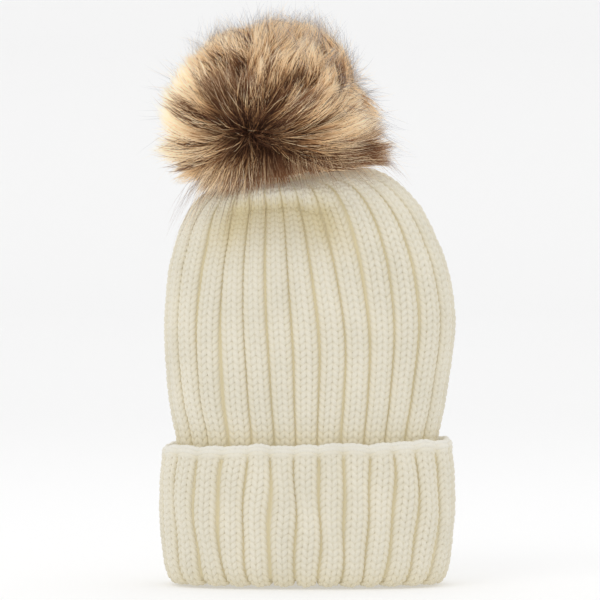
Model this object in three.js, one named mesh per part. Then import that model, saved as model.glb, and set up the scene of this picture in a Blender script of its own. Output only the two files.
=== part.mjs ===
// Pom pom beanie: a chunky rib-knit hat with a turned-up cuff and a fur pom on a press stud.
// Millimetres, +Z up, front towards -Y. The origin is the centre of the head opening, level with
// the fold of the cuff, which is what the hat stands on.

import * as THREE from 'three';

// ---- Knit ----
const KNIT_SEGMENTS = 48;
const WALL = 5.5;
const GATHER_HOLE_RADIUS = 5;
const OVAL_POWER = 2.8;
const FULL_OVAL_HALF_WIDTH = 60;

// Outer face of the crown: height, half width, half depth, and share of the top's lean.
// The first four rings are the layer inside the cuff.
const CROWN_OUTSIDE = [
  [6, 79.5, 37.5, 0],
  [26, 84.5, 42, 0],
  [60, 86.5, 43.5, 0],
  [88, 83.2, 41, 0],
  [118, 88, 46, 0],
  [160, 91.5, 49, 0],
  [196, 88, 47, 0.05],
  [216, 82.5, 44.5, 0.15],
  [230, 77, 42, 0.3],
  [243, 69, 38.5, 0.5],
  [252, 59, 34, 0.7],
  [256.5, 46, 28.5, 0.85],
  [257.6, 31, 21.5, 0.95],
  [256.8, 17, 14, 1],
  [256, GATHER_HOLE_RADIUS, GATHER_HOLE_RADIUS, 1],
];

// Inner face of the cuff, from its rim down to the fold, then the fold's flat underside.
const CUFF_INSIDE = [
  [90.2, 85.2, 43],
  [84, 84.6, 42.4],
  [58, 87.6, 44.6],
  [26, 85.4, 42.9],
  [5.4, 80.6, 38.6],
  [5.2, 75, 33.5],
  [1, 74.5, 33],
  [0, 75.5, 34],
];

// Outer face of the cuff, from the fold's underside up to its rim.
const CUFF_OUTSIDE = [
  [0, 84.5, 43],
  [3, 87.2, 45.2],
  [18, 91.8, 49],
  [45, 94.5, 51.2],
  [70, 93.8, 50.6],
  [84, 91.6, 48.6],
  [90.5, 89.4, 46.6],
  [92, 87, 44.6],
];

// ---- Gathered top, where the press stud sits ----
const TOP_SHIFT_X = -12;
const TOP_SHIFT_Y = -12;
const TOP_HEIGHT = 256;
const LEAN_LEFT = THREE.MathUtils.degToRad(9);
const LEAN_FORWARD = THREE.MathUtils.degToRad(10);

// ---- Back seam and label ----
const SEAM_WIDTH = 5;
const SEAM_THICKNESS = 2.4;
const SEAM_CLEARANCE = 0.9;
const SEAM_STEPS = 24;
const LABEL_WIDTH = 28;
const LABEL_HEIGHT = 42;
const LABEL_THICKNESS = 0.8;
const LABEL_CORNER = 1.5;
const LABEL_LEFT = 3.2;
const LABEL_BOTTOM = 40;
const LABEL_BACK = 34.3;

// ---- Press stud, measured up its own axis from the gathered top ----
const STUD_SEGMENTS = 20;
const CAP_RADIUS = 7.5;
const POST_RADIUS = 1;
const WASHER_RADIUS = 8.5;
const WASHER_HOLE_RADIUS = 2;
const STUD_FLANGE_RADIUS = 6.3;
const STUD_BORE_RADIUS = 1.35;
const STUD_BULB_RADIUS = 2.9;
const SOCKET_RADIUS = 7;
const SOCKET_MOUTH_RADIUS = 3.3;
const SOCKET_GROOVE_RADIUS = 4.6;
const SPRING_RADIUS = 3.75;
const SPRING_WIRE_RADIUS = 0.35;
const SPRING_HEIGHT = 2.75;
const SPRING_GAP_ANGLE = 0.7;
const GATHER_YARN_RING_RADIUS = 9.6;
const GATHER_YARN_RADIUS = 1.1;
const GATHER_YARN_HEIGHT = 1.95;

// ---- Pom, on the same axis ----
const POM_CENTRE = 50;
const POM_RADIUS = 66;
const POM_HALF_HEIGHT = 44;
const POM_OPENING_RADIUS = 16;
const FILL_RADIUS = 41;
const FILL_HALF_HEIGHT = 30;
const FILL_CLEARANCE = 0.6;
const FILL_BOTTOM = 12;
const BASE_DISC_RADIUS = 15;
const BASE_DISC_BOTTOM = 7.4;
const BASE_DISC_TOP = 9;
const DRAWSTRING_RING_RADIUS = 13;
const DRAWSTRING_RADIUS = 0.6;
const DRAWSTRING_HEIGHT = 6.4;
const POM_SEGMENTS = 32;
const POM_ARC_STEPS = 12;

// ---- Materials ----
const material = (color, roughness, metalness = 0) =>
  new THREE.MeshStandardMaterial({ color, roughness, metalness });

const creamKnit = material(0xf1e9cf, 0.95);
const creamYarn = material(0xe9dfc2, 0.95);
const satin = material(0xf7f5ee, 0.5);
const felt = material(0xe4dcc6, 1);
const nickel = material(0xb9bbbd, 0.3, 1);
const springSteel = material(0xd2d4d6, 0.25, 1);
const fur = material(0xb58a5c, 0.9);
const stuffing = material(0xf6f6f4, 1);
const brownThread = material(0x5b4330, 0.9);

const hat = new THREE.Group();

// The group that everything on the press stud's axis hangs in: its origin is the gathered top.
const studAxis = new THREE.Group();
const axisDirection = new THREE.Vector3(-Math.sin(LEAN_LEFT), -Math.sin(LEAN_FORWARD), 0);
axisDirection.z = Math.sqrt(1 - axisDirection.lengthSq());
studAxis.quaternion.setFromUnitVectors(new THREE.Vector3(0, 0, 1), axisDirection);
studAxis.position.set(TOP_SHIFT_X, TOP_SHIFT_Y, TOP_HEIGHT);
hat.add(studAxis);

function addPart(group, name, geometry, partMaterial) {
  const mesh = new THREE.Mesh(geometry, partMaterial);
  mesh.name = name;
  group.add(mesh);
}

// A flattened oval, squarer than an ellipse, in the XY plane.
class Oval extends THREE.Curve {
  constructor(halfWidth, halfDepth, power) {
    super();
    this.halfWidth = halfWidth;
    this.halfDepth = halfDepth;
    this.exponent = 2 / power;
  }

  getPoint(t, target = new THREE.Vector3()) {
    const across = Math.cos(2 * Math.PI * t);
    const along = Math.sin(2 * Math.PI * t);
    return target.set(
      this.halfWidth * Math.sign(across) * Math.abs(across) ** this.exponent,
      this.halfDepth * Math.sign(along) * Math.abs(along) ** this.exponent,
      0,
    );
  }
}

// One ring of the knit, its points evenly spaced round the oval. It rounds off and leans over
// towards the gathered top.
function knitRing([height, halfWidth, halfDepth, lean = 0]) {
  const roundness = Math.min(1, halfWidth / FULL_OVAL_HALF_WIDTH);
  const power = THREE.MathUtils.lerp(2, OVAL_POWER, roundness);
  const outline = new Oval(halfWidth, halfDepth, power).getSpacedPoints(KNIT_SEGMENTS);
  return outline.slice(0, KNIT_SEGMENTS).map(({ x, y }) => {
    const tilt = Math.tan(LEAN_LEFT) * x + Math.tan(LEAN_FORWARD) * y;
    return new THREE.Vector3(x + lean * TOP_SHIFT_X, y + lean * TOP_SHIFT_Y, height + lean * tilt);
  });
}

// A closed skin through rings of equal point count; the last ring joins back to the first.
function skinThroughRings(rings) {
  const count = rings[0].length;
  const geometry = new THREE.BufferGeometry().setFromPoints(rings.flat());
  const triangles = [];
  rings.forEach((_, level) => {
    const here = level * count;
    const above = ((level + 1) % rings.length) * count;
    for (let i = 0; i < count; i += 1) {
      const next = (i + 1) % count;
      triangles.push(here + i, here + next, above + i);
      triangles.push(here + next, above + next, above + i);
    }
  });
  geometry.setIndex(triangles);
  geometry.computeVertexNormals();
  return geometry;
}

// The rings of a wall's inner face: each outer ring moved in along the wall's own slope.
function movedInward(stations, distance) {
  return stations.map(([height, halfWidth, halfDepth, lean], index) => {
    const below = stations[Math.max(index - 1, 0)];
    const above = stations[Math.min(index + 1, stations.length - 1)];
    const slope = new THREE.Vector2(above[1] - below[1], above[0] - below[0]).normalize();
    return [
      height + distance * slope.x,
      halfWidth - distance * slope.y,
      halfDepth - distance * slope.y,
      lean,
    ];
  });
}

// ---- Knitted parts ----
const crownInside = movedInward(CROWN_OUTSIDE, WALL);

addPart(hat, 'crown_knit', skinThroughRings([
  ...CROWN_OUTSIDE.map(knitRing),
  ...crownInside.map(knitRing).reverse(),
]), creamKnit);

addPart(hat, 'turned_cuff', skinThroughRings([
  ...CUFF_INSIDE.map(knitRing),
  ...CUFF_OUTSIDE.map(knitRing),
]), creamKnit);

// The seam runs up the middle of the back, just inside the wall.
function seamPoint([height, , halfDepth, lean]) {
  const depth = halfDepth - SEAM_CLEARANCE - SEAM_THICKNESS / 2;
  const tilt = Math.tan(LEAN_FORWARD) * depth;
  return new THREE.Vector3(lean * TOP_SHIFT_X, depth + lean * TOP_SHIFT_Y, height + lean * tilt);
}

function sheetOutline(width, height, corner) {
  const outline = new THREE.Shape();
  outline.moveTo(corner, 0);
  outline.lineTo(width - corner, 0);
  outline.quadraticCurveTo(width, 0, width, corner);
  outline.lineTo(width, height - corner);
  outline.quadraticCurveTo(width, height, width - corner, height);
  outline.lineTo(corner, height);
  outline.quadraticCurveTo(0, height, 0, height - corner);
  outline.lineTo(0, corner);
  outline.quadraticCurveTo(0, 0, corner, 0);
  return outline;
}

const seamSection = new THREE.Shape([
  new THREE.Vector2(-SEAM_WIDTH / 2, -SEAM_THICKNESS / 2),
  new THREE.Vector2(SEAM_WIDTH / 2, -SEAM_THICKNESS / 2),
  new THREE.Vector2(SEAM_WIDTH / 2, SEAM_THICKNESS / 2),
  new THREE.Vector2(-SEAM_WIDTH / 2, SEAM_THICKNESS / 2),
]);
const seamedRings = crownInside.filter(([height, halfWidth]) => height < TOP_HEIGHT && halfWidth > 60);
addPart(hat, 'back_seam', new THREE.ExtrudeGeometry(seamSection, {
  steps: SEAM_STEPS,
  extrudePath: new THREE.CatmullRomCurve3(seamedRings.map(seamPoint)),
}), creamYarn);

const label = new THREE.ExtrudeGeometry(sheetOutline(LABEL_WIDTH, LABEL_HEIGHT, LABEL_CORNER), {
  depth: LABEL_THICKNESS,
  bevelEnabled: false,
  curveSegments: 4,
});
label.rotateX(Math.PI / 2);
label.translate(LABEL_LEFT, LABEL_BACK, LABEL_BOTTOM);
addPart(hat, 'care_label', label, satin);

// ---- Turned and ring-shaped parts on the stud's axis ----

// A solid of revolution about +Z, from radius and height pairs that run anticlockwise.
function turned(profile, segments = STUD_SEGMENTS) {
  const points = profile.map(([radius, height]) => new THREE.Vector2(radius, height));
  return new THREE.LatheGeometry(points, segments).rotateX(Math.PI / 2);
}

// A flat ring with a rectangular section.
function washer(innerRadius, outerRadius, bottom, top) {
  return turned([
    [innerRadius, bottom],
    [outerRadius, bottom],
    [outerRadius, top],
    [innerRadius, top],
    [innerRadius, bottom],
  ]);
}

function ringOfYarn(radius, yarnRadius, height) {
  const ring = new THREE.TorusGeometry(radius, yarnRadius, 8, POM_SEGMENTS);
  return ring.translate(0, 0, height);
}

// Heights of the stack: each piece clears the next by at least 0.3.
const WASHER_BOTTOM = -7.2;
const WASHER_TOP = -6;
const CAP_TOP = WASHER_BOTTOM - 0.3;
const CAP_BOTTOM = CAP_TOP - 1.4;

addPart(studAxis, 'snap_cap', turned([
  [0, CAP_BOTTOM - 0.5],
  [CAP_RADIUS * 0.7, CAP_BOTTOM - 0.2],
  [CAP_RADIUS, CAP_BOTTOM + 0.6],
  [CAP_RADIUS, CAP_TOP],
  [POST_RADIUS, CAP_TOP],
  [POST_RADIUS, 2.7],
  [0, 3],
]), nickel);

addPart(studAxis, 'snap_washer', washer(WASHER_HOLE_RADIUS, WASHER_RADIUS, WASHER_BOTTOM, WASHER_TOP), felt);

addPart(studAxis, 'snap_stud', turned([
  [0, 3.5],
  [STUD_BORE_RADIUS, 3.3],
  [STUD_BORE_RADIUS, 0.5],
  [STUD_FLANGE_RADIUS, 0.5],
  [STUD_FLANGE_RADIUS, 1.1],
  [STUD_FLANGE_RADIUS - 0.4, 1.4],
  [STUD_BULB_RADIUS - 0.6, 1.5],
  [STUD_BULB_RADIUS - 0.6, 2.5],
  [STUD_BULB_RADIUS, 3.3],
  [STUD_BULB_RADIUS, 3.9],
  [STUD_BULB_RADIUS - 0.8, 4.6],
  [0, 4.7],
]), nickel);

addPart(studAxis, 'gather_yarn',
  ringOfYarn(GATHER_YARN_RING_RADIUS, GATHER_YARN_RADIUS, GATHER_YARN_HEIGHT), creamYarn);

addPart(studAxis, 'snap_socket', turned([
  [0, 5.1],
  [SOCKET_MOUTH_RADIUS, 5.1],
  [SOCKET_MOUTH_RADIUS, 3.45],
  [SOCKET_GROOVE_RADIUS, 3.45],
  [SOCKET_GROOVE_RADIUS, 2.1],
  [SOCKET_MOUTH_RADIUS, 2.1],
  [SOCKET_MOUTH_RADIUS, 1.75],
  [SOCKET_RADIUS - 0.5, 1.75],
  [SOCKET_RADIUS, 2.2],
  [SOCKET_RADIUS, 5.4],
  [SOCKET_RADIUS - 1, 7],
  [1.4, 7],
  [1.4, 5.75],
  [0, 5.75],
]), nickel);

const springPath = new THREE.CatmullRomCurve3(
  Array.from({ length: 17 }, (_, index) => {
    const angle = SPRING_GAP_ANGLE / 2 + (2 * Math.PI - SPRING_GAP_ANGLE) * (index / 16);
    return new THREE.Vector3(SPRING_RADIUS * Math.cos(angle), SPRING_RADIUS * Math.sin(angle), SPRING_HEIGHT);
  }),
);
const springSection = new THREE.Shape(new THREE.Path().absarc(0, 0, SPRING_WIRE_RADIUS, 0, 2 * Math.PI)
  .getPoints(8).slice(0, 8));
addPart(studAxis, 'socket_spring', new THREE.ExtrudeGeometry(springSection, {
  steps: 24,
  extrudePath: springPath,
}), springSteel);

addPart(studAxis, 'pom_base_disc', washer(1.5, BASE_DISC_RADIUS, BASE_DISC_BOTTOM, BASE_DISC_TOP), felt);

addPart(studAxis, 'socket_cap', turned([
  [0, 6.1],
  [POST_RADIUS, 6.1],
  [POST_RADIUS, BASE_DISC_TOP + 0.4],
  [CAP_RADIUS - 1, BASE_DISC_TOP + 0.4],
  [CAP_RADIUS - 1, BASE_DISC_TOP + 1],
  [CAP_RADIUS - 2.5, BASE_DISC_TOP + 1.8],
  [0, BASE_DISC_TOP + 2],
]), nickel);

addPart(studAxis, 'pom_drawstring',
  ringOfYarn(DRAWSTRING_RING_RADIUS, DRAWSTRING_RADIUS, DRAWSTRING_HEIGHT), brownThread);

// Points up the side of an upright ellipsoid on the pom's centre, from a bottom radius to its top.
function ellipsoidSide(radius, halfHeight, bottomRadius) {
  const start = -Math.acos(bottomRadius / radius);
  return Array.from({ length: POM_ARC_STEPS + 1 }, (_, index) => {
    const angle = THREE.MathUtils.lerp(start, Math.PI / 2, index / POM_ARC_STEPS);
    const across = index === POM_ARC_STEPS ? 0 : radius * Math.cos(angle);
    return [across, POM_CENTRE + halfHeight * Math.sin(angle)];
  });
}

addPart(studAxis, 'pom_fur', turned([
  ...ellipsoidSide(FILL_RADIUS + FILL_CLEARANCE, FILL_HALF_HEIGHT + FILL_CLEARANCE, POM_OPENING_RADIUS).reverse(),
  ...ellipsoidSide(POM_RADIUS, POM_HALF_HEIGHT, POM_OPENING_RADIUS),
], POM_SEGMENTS), fur);

addPart(studAxis, 'pom_fill', turned([
  [0, FILL_BOTTOM],
  [POM_OPENING_RADIUS - 1.5, FILL_BOTTOM],
  ...ellipsoidSide(FILL_RADIUS, FILL_HALF_HEIGHT, POM_OPENING_RADIUS - 1),
], POM_SEGMENTS), stuffing);

export default hat;
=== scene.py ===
# Pom pom beanie: the looks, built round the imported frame. Metres, +Z up, front towards -Y.
import math

import bpy
import numpy as np
from mathutils import Matrix, Vector


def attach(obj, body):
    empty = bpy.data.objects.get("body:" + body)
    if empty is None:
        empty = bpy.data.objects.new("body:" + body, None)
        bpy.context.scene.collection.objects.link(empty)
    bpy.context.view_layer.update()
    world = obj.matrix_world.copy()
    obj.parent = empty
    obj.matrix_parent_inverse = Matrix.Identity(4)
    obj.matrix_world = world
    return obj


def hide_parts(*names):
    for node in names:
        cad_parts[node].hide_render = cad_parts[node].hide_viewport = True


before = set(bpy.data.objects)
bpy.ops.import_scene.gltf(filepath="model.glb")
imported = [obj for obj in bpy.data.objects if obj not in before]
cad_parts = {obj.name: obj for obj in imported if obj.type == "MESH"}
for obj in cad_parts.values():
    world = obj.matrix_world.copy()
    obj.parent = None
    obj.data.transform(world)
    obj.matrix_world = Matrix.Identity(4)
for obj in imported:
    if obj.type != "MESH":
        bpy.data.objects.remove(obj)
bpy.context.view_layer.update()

MM = 0.001
TAU = 2 * math.pi
RANDOM = np.random.default_rng(7)
HAT = "hat"
POM = "pom"
SPRING = "spring"

# ---- Knit, as in the CAD ----
RIBS = 30
RIB_PITCH = 16.4
FULL_RIB_HALF_WIDTH = 60
OVAL_POWER = 2.8
TOP_SHIFT = (-12, -12)
TOP_HEIGHT = 256
LEAN_LEFT = math.radians(9)
LEAN_FORWARD = math.radians(10)

# Outer face of the crown: height, half width, half depth, and share of the top's lean.
CROWN_OUTSIDE = [
    (6, 79.5, 37.5, 0),
    (26, 84.5, 42, 0),
    (60, 86.5, 43.5, 0),
    (88, 83.2, 41, 0),
    (118, 88, 46, 0),
    (160, 91.5, 49, 0),
    (196, 88, 47, 0.05),
    (216, 82.5, 44.5, 0.15),
    (230, 77, 42, 0.3),
    (243, 69, 38.5, 0.5),
    (252, 59, 34, 0.7),
    (256.5, 46, 28.5, 0.85),
    (257.6, 31, 21.5, 0.95),
    (256.8, 17, 14, 1),
    (256, 7, 7, 1),
]

# The line that the cuff's yarn is centred on, from inside the fold to its rim.
CUFF_YARN_LINE = [
    (10, 77.4, 35.4, 0),
    (5.5, 77.8, 35.8, 0),
    (3.3, 79.6, 37.8, 0),
    (3.1, 82, 40.2, 0),
    (4.8, 84.6, 42.6, 0),
    (10, 87, 44.6, 0),
    (20, 89.2, 46.4, 0),
    (45, 91.6, 48.3, 0),
    (68, 90.9, 47.7, 0),
    (80, 89.4, 46.4, 0),
    (85.4, 88.2, 45.3, 0),
    (87.6, 86.9, 44.2, 0),
]

# ---- Stitches ----
ROW_HEIGHT = 4.28
CROWN_FIRST_ROW = 15
YARN_DEPTH = 2.9
YARN_RADIUS = 1.95
YARN_FLATNESS = 0.82
YARN_SIDES = 6
TWIST_ALONG = 0.35
TWIST_AROUND = 2.0
CROWN_KNIT_WIDTH = 7.0
CUFF_KNIT_WIDTH = 6.8
KNIT_SAMPLES = 14
PURL_SAMPLES = 6
LOOP_HALF_HEIGHT = 3.7
LOOP_LEAN = 1.6
LOOP_DEPTH = 1.0
RIB_CROWN_DROP = 1.9
VALLEY_DEPTH = 4.3
ROWS_PER_PIECE = 8
UNEVEN_HEIGHT = 0.03
UNEVEN_DEPTH = 0.12
# How far the yarn's colour goes towards its deep colour: a baseline, then painted shade in the fold under
# the pom, its flanks and the nooks.
BASE_SHADE = 0.3
FOLD_SHADE = 0.5
FLANK_SHADE = 0.45
NOOK_SHADE = 0.3

# ---- Pom, in millimetres up the press stud's axis ----
POM_CENTRE = np.array([0, 0, 50])
FILL_SIZE = np.array([41, 41, 30])
FILL_BOTTOM = 12
BACKING_SIZE = FILL_SIZE + 1.3
BACKING_THICKNESS = 0.8
POM_OPENING_RADIUS = 16
PILE_CLEARANCE = 0.7

# How far the dense pile reaches from the pom's centre, by angle above the level, in degrees.
PILE_REACH = [
    (-90, 48), (-70, 58), (-52, 70), (-36, 75), (-24, 73), (-10, 67),
    (2, 60), (15, 55), (35, 55), (60, 54), (90, 51),
]


def stud_axis_matrix():
    """The frame on the press stud's axis: its origin is the gathered top, its Z the axis."""
    x = -math.sin(LEAN_LEFT)
    y = -math.sin(LEAN_FORWARD)
    axis = Vector((x, y, math.sqrt(1 - x * x - y * y)))
    turn = Vector((0, 0, 1)).rotation_difference(axis).to_matrix().to_4x4()
    return Matrix.Translation(Vector((*TOP_SHIFT, TOP_HEIGHT)) * MM) @ turn


STUD_AXIS = stud_axis_matrix()
AXIS_TURN = np.array(STUD_AXIS.to_3x3())
AXIS_PLACE = np.array(STUD_AXIS.translation)


def from_axis(points):
    """Millimetres on the press stud's axis to metres in the frame."""
    return points * MM @ AXIS_TURN.T + AXIS_PLACE


def to_axis(points):
    """Millimetres in the frame to millimetres on the press stud's axis."""
    return (points - AXIS_PLACE / MM) @ AXIS_TURN


def direction_on_axis(x, y, z):
    """A direction in the frame, as seen on the press stud's axis."""
    direction = np.array([x, y, z]) @ AXIS_TURN
    return direction / np.linalg.norm(direction)


# ---- Camera, stage and light ----
VIEW_WIDTH = 0.378
VIEW_CENTRE = (-0.0044, 0.179)
CAMERA_DISTANCE = 2.2
SENSOR_WIDTH = 36
LIGHT_SIZE = 1.6
LIGHT_TARGET = (0, 0, 0.2)
SKY_STRENGTH = 0.92
SCATTERED_LIGHT = 0.3


def add_camera():
    data = bpy.data.cameras.new("camera")
    data.sensor_width = SENSOR_WIDTH
    data.lens = SENSOR_WIDTH * CAMERA_DISTANCE / VIEW_WIDTH
    data.clip_end = 50
    camera = bpy.data.objects.new("camera", data)
    camera.location = (VIEW_CENTRE[0], -CAMERA_DISTANCE, VIEW_CENTRE[1])
    camera.rotation_euler = (math.pi / 2, 0, 0)
    bpy.context.collection.objects.link(camera)
    bpy.context.scene.camera = camera


def add_area_light(name, place, power):
    data = bpy.data.lights.new(name, "AREA")
    data.shape = "DISK"
    data.size = LIGHT_SIZE
    data.energy = power
    light = bpy.data.objects.new(name, data)
    light.location = place
    light.rotation_euler = (Vector(LIGHT_TARGET) - Vector(place)).to_track_quat("-Z", "Y").to_euler()
    bpy.context.collection.objects.link(light)


# ---- Materials ----
class Shader:
    """A Principled material whose patterns are built from nodes."""

    def __init__(self, name, **inputs):
        self.material = bpy.data.materials.new(name)
        self.material.use_nodes = True
        self.nodes = self.material.node_tree.nodes
        self.principled = self.nodes["Principled BSDF"]
        self.set(self.principled, **inputs)

    def set(self, node, **values):
        """Feeds a node's inputs, whose names start with a capital, and sets its other values."""
        for key, value in values.items():
            if key[0].isupper():
                self.feed(node.inputs[key.replace("_", " ")], value)
            else:
                setattr(node, key, value)

    def feed(self, socket, value):
        """Links a node's output to the socket, or gives the socket a number or a colour."""
        if isinstance(value, bpy.types.NodeSocket):
            self.material.node_tree.links.new(value, socket)
        else:
            socket.default_value = (*value, 1) if isinstance(value, tuple) else value

    def node(self, kind, **values):
        node = self.nodes.new("ShaderNode" + kind)
        self.set(node, **values)
        return node

    def place(self):
        return self.node("TexCoord").outputs["Object"]

    def noise(self, scale, detail):
        return self.node("TexNoise", Scale=scale, Detail=detail, Vector=self.place()).outputs["Fac"]

    def bands(self, direction, scale, distortion, place):
        return self.node("TexWave", wave_type="BANDS", bands_direction=direction, Scale=scale,
                         Distortion=distortion, Vector=place).outputs["Fac"]

    def ramp(self, factor, stops):
        ramp = self.node("ValToRGB", Fac=factor)
        elements = ramp.color_ramp.elements
        while len(elements) < len(stops):
            elements.new(0.5)
        for element, (position, colour) in zip(elements, stops):
            element.position = position
            element.color = (*colour, 1)
        return ramp.outputs["Color"]

    def mix(self, factor, first, second, blend="MIX"):
        mix = self.node("Mix", data_type="RGBA", blend_type=blend)
        for socket, value in ((0, factor), (6, first), (7, second)):
            self.feed(mix.inputs[socket], value)
        return mix.outputs[2]

    def bump(self, height, strength, distance):
        bump = self.node("Bump", Strength=strength, Distance=distance, Height=height)
        self.set(self.principled, Normal=bump.outputs["Normal"])

    def colour(self, colour):
        self.set(self.principled, Base_Color=colour)

    def glowing_colour(self, colour):
        """The base colour, and the same for the emission that stands for scattered light."""
        self.set(self.principled, Base_Color=colour, Emission_Color=colour)


def yarn_shader(name, light, deep):
    """Soft spun yarn with a ply twist and painted light: paler where it stands proud, darker and warmer in
    the painted shade of the hollows, and an emission for scattered light.
    """
    shader = Shader(name, Roughness=0.9, Sheen_Weight=0.25, Sheen_Roughness=0.5, Specular_IOR_Level=0.2,
                    Emission_Strength=SCATTERED_LIGHT)
    # The attribute read here is painted shade: it mixes the light colour towards the deep colour of the
    # hollows.
    depth = shader.node("Attribute", attribute_name="painted_shade").outputs["Fac"]
    blotch = shader.ramp(shader.noise(38, 3), [(0.3, (0.93, 0.93, 0.92)), (0.7, (1, 1, 1))])
    shader.glowing_colour(shader.mix(1.0, shader.mix(depth, light, deep), blotch, "MULTIPLY"))
    twist = shader.node("UVMap", uv_map="Yarn").outputs["UV"]
    shader.bump(shader.bands("DIAGONAL", 1.0, 1.5, twist), 0.25, 0.0004)
    return shader.material


# ---- Mesh building ----
def make_mesh(name, points, faces, uvs=None, painted_shade=None):
    """A mesh object from numpy arrays. faces is (n, 3) or (n, 4); uvs is {layer: (n, corners, 2)}."""
    mesh = bpy.data.meshes.new(name)
    points = np.ascontiguousarray(points, dtype=np.float32).reshape(-1, 3)
    faces = np.ascontiguousarray(faces, dtype=np.int32)
    corners = faces.shape[1]
    mesh.vertices.add(len(points))
    mesh.vertices.foreach_set("co", points.ravel())
    mesh.loops.add(faces.size)
    mesh.loops.foreach_set("vertex_index", faces.ravel())
    mesh.polygons.add(len(faces))
    mesh.polygons.foreach_set("loop_start", np.arange(0, faces.size, corners, dtype=np.int32))
    mesh.update(calc_edges=True)
    mesh.polygons.foreach_set("use_smooth", np.full(len(faces), True))
    for layer, coordinates in (uvs or {}).items():
        uv = mesh.uv_layers.new(name=layer)
        uv.uv.foreach_set("vector", np.ascontiguousarray(coordinates, dtype=np.float32).ravel())
    # A per-point amount of painted shade, which the yarn shader reads as an attribute.
    if painted_shade is not None:
        attribute = mesh.attributes.new("painted_shade", "FLOAT", "POINT")
        attribute.data.foreach_set("value", np.ascontiguousarray(painted_shade, dtype=np.float32).ravel())
    mesh.validate()
    obj = bpy.data.objects.new(name, mesh)
    bpy.context.collection.objects.link(obj)
    return obj


def finish_piece(piece, material, body, slot, node):
    """Gives the piece its material and body, and puts it in place of the CAD node. The slot is not used."""
    piece.data.materials.append(material)
    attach(piece, body)
    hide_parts(node)


def grid_faces(rows, columns, close_rows, close_columns):
    """Quads of a grid of points, optionally joined back to its start either way."""
    row = np.arange(rows if close_rows else rows - 1)
    column = np.arange(columns if close_columns else columns - 1)
    row, column = np.meshgrid(row, column, indexing="ij")
    next_row = (row + 1) % rows
    next_column = (column + 1) % columns
    return np.stack([
        row * columns + column,
        row * columns + next_column,
        next_row * columns + next_column,
        next_row * columns + column,
    ], axis=-1).reshape(-1, 4)


def grid_corners(rows, columns):
    """The row and the column of the four corners of each quad of a closed grid."""
    row, column = np.meshgrid(np.arange(rows), np.arange(columns), indexing="ij")
    return row.ravel()[:, None] + np.array([0, 0, 1, 1]), column.ravel()[:, None] + np.array([0, 1, 1, 0])


def grid_uv(rows, columns):
    """A map that spreads the quads of a closed grid over the whole square."""
    row, column = grid_corners(rows, columns)
    return np.stack([column / columns, row / rows], axis=-1)


def round_axis(radius, turn, height):
    """Points at a radius, angle and height round an upright axis."""
    return np.stack(np.broadcast_arrays(radius * np.cos(turn), radius * np.sin(turn), height), axis=-1)


def unit(vectors):
    return vectors / np.maximum(np.linalg.norm(vectors, axis=-1, keepdims=True), 1e-12)


def angle_between(directions, way):
    return np.arccos(np.clip(directions @ way, -1, 1))


# ---- The knit's surfaces ----
SPLINE_STEPS = 24
OVAL_STEPS = 2880
RIM_HEIGHT = 90
POM_MIDDLE = -17
ROLL_HEIGHT = 245.5
ROLL_PROUD = 5.5
FOLD_HEIGHT = 237
FOLD_DEEP = 9
CREASE_DEEP = 4
FLANK_DEEP = 3
SLUMP_PROUD = 4.5


def distance_along(x, y):
    return np.concatenate([[0], np.cumsum(np.hypot(np.diff(x), np.diff(y)))])


def smooth_line(stations, step):
    """Stations joined by a Catmull-Rom spline and resampled every step along height and width."""
    points = np.array(stations, dtype=float)
    padded = np.vstack([2 * points[0] - points[1], points, 2 * points[-1] - points[-2]])
    dense = []
    for a, b, c, d in zip(padded, padded[1:], padded[2:], padded[3:]):
        for t in np.linspace(0, 1, SPLINE_STEPS, endpoint=False):
            dense.append(0.5 * (2 * b + (c - a) * t + (2 * a - 5 * b + 4 * c - d) * t ** 2
                                + (3 * b - a - 3 * c + d) * t ** 3))
    dense.append(points[-1])
    dense = np.array(dense)
    along = distance_along(dense[:, 0], dense[:, 1])
    wanted = np.linspace(0, along[-1], int(round(along[-1] / step)) + 1)
    return np.stack([np.interp(wanted, along, dense[:, k]) for k in range(4)], axis=1)


def oval(half_width, half_depth, count):
    """Points evenly spaced round a flattened oval, starting at +X and turning towards +Y."""
    roundness = min(1, half_width / FULL_RIB_HALF_WIDTH)
    exponent = 2 / (2 + (OVAL_POWER - 2) * roundness)
    angle = np.linspace(0, TAU, OVAL_STEPS + 1)
    x = half_width * np.sign(np.cos(angle)) * np.abs(np.cos(angle)) ** exponent
    y = half_depth * np.sign(np.sin(angle)) * np.abs(np.sin(angle)) ** exponent
    along = distance_along(x, y)
    wanted = np.arange(count) / count * along[-1]
    return np.interp(wanted, along, x), np.interp(wanted, along, y), along[-1]


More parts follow.
